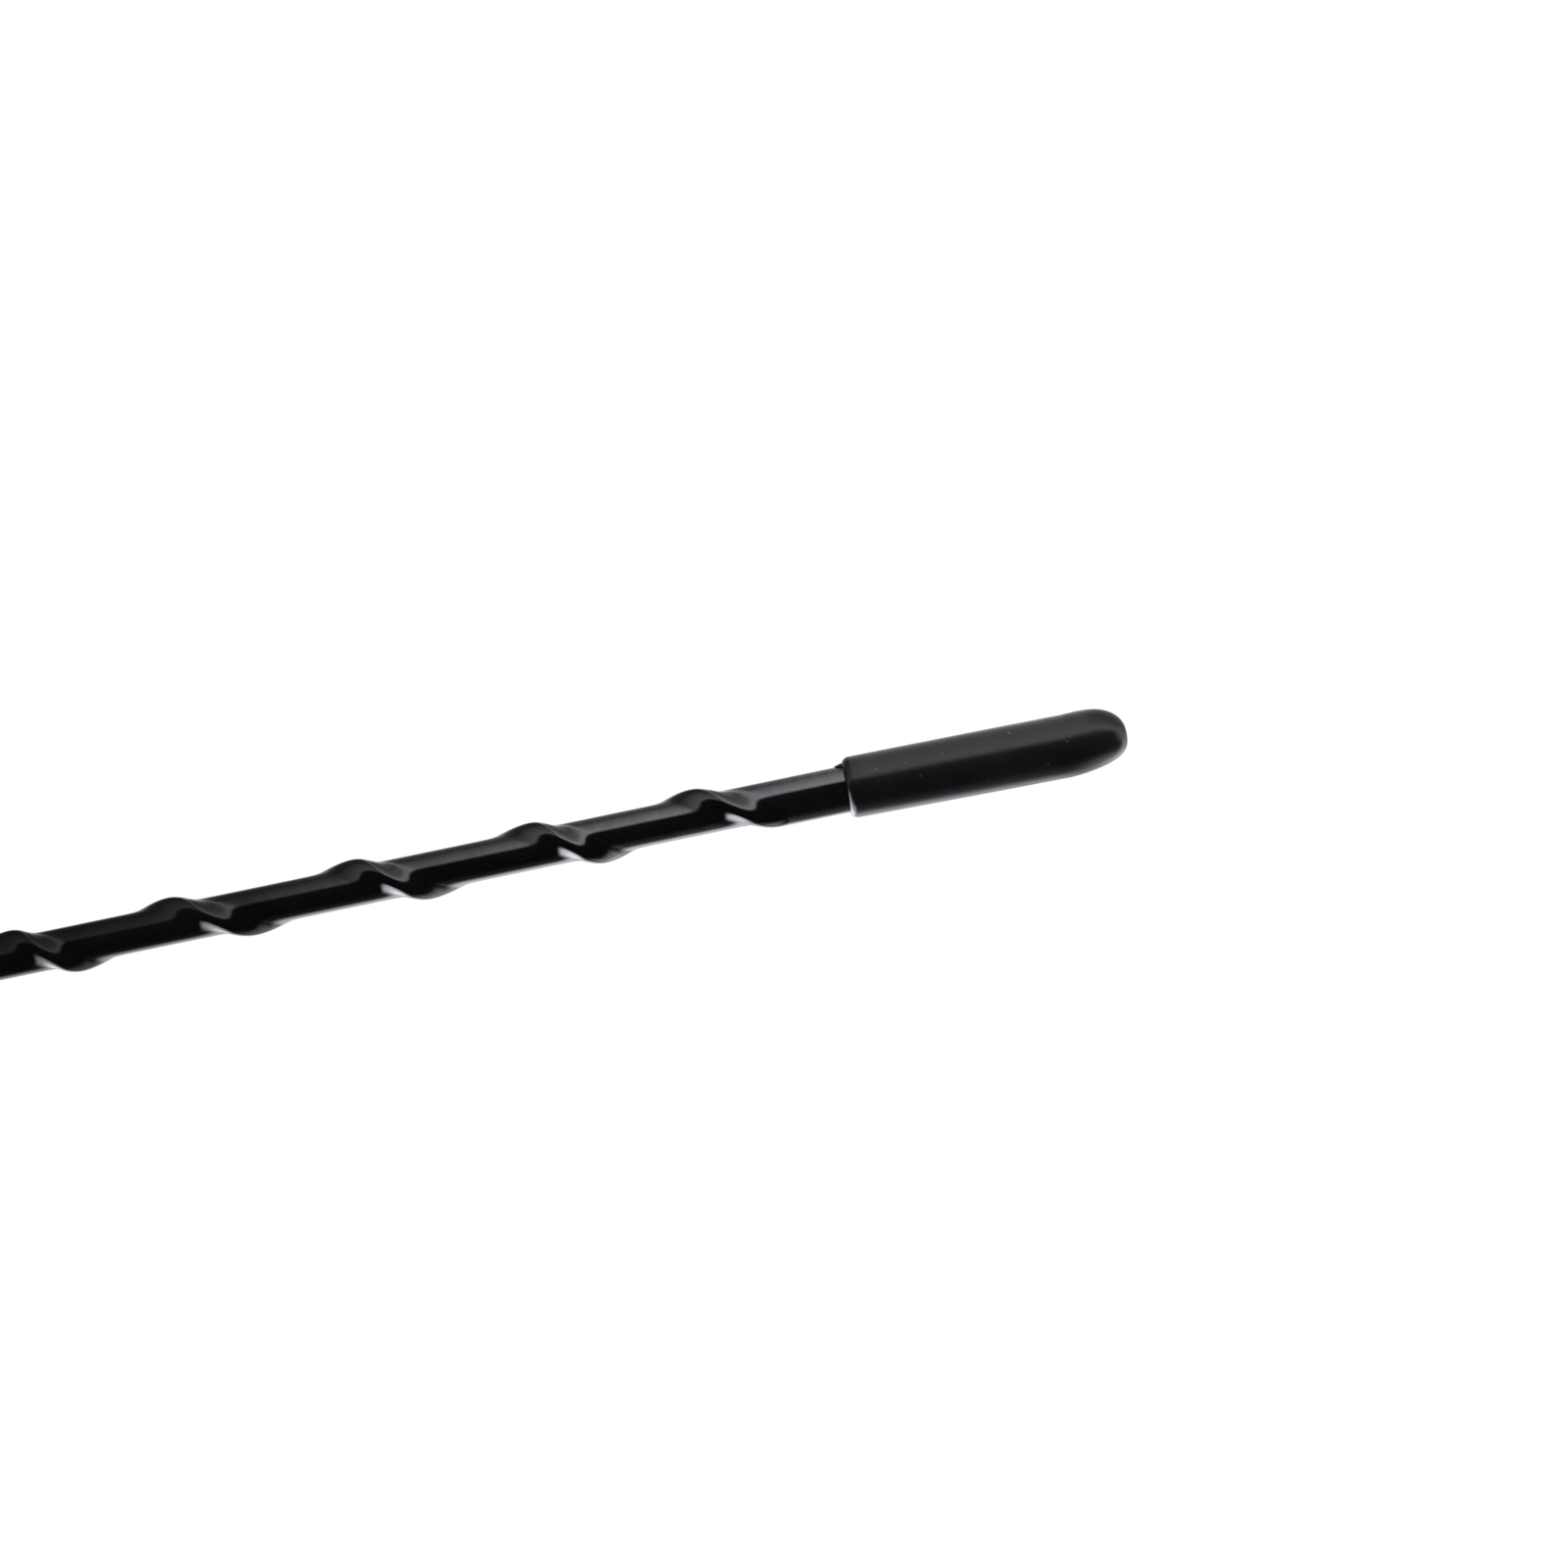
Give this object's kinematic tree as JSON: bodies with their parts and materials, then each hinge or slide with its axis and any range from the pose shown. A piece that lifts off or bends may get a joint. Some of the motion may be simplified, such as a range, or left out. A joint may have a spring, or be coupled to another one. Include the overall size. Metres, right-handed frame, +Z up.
{
  "type": "car mast aerial",
  "caption": "Short black car mast aerial: a slim sleeved rod with a raised helical rib, a domed rubber tip cap and a moulded grip over a screw stud.",
  "frame": {"origin": "on the stud's axis, in the collar's face that seats on the car's aerial base", "axes": "+Z up the mast to the tip, +X towards the side where the wire's straight ends lie"},
  "size_m": [0.011, 0.011, 0.2103],
  "materials": {
    "glass_fibre": "bare glass fibre",
    "copper": "drawn copper wire",
    "shrink_sleeve": "glossy black shrink sleeve",
    "plated_brass": "nickel-plated, satin",
    "moulded_plastic": "fine grained black",
    "cap_rubber": "matt black rubber"
  },
  "bodies": {
    "root": {"core_rod": "glass_fibre", "radiator_wire": "copper", "sleeve": "shrink_sleeve", "ferrule": "plated_brass", "grip": "moulded_plastic", "tip_cap": "cap_rubber"}
  },
  "joints": []
}
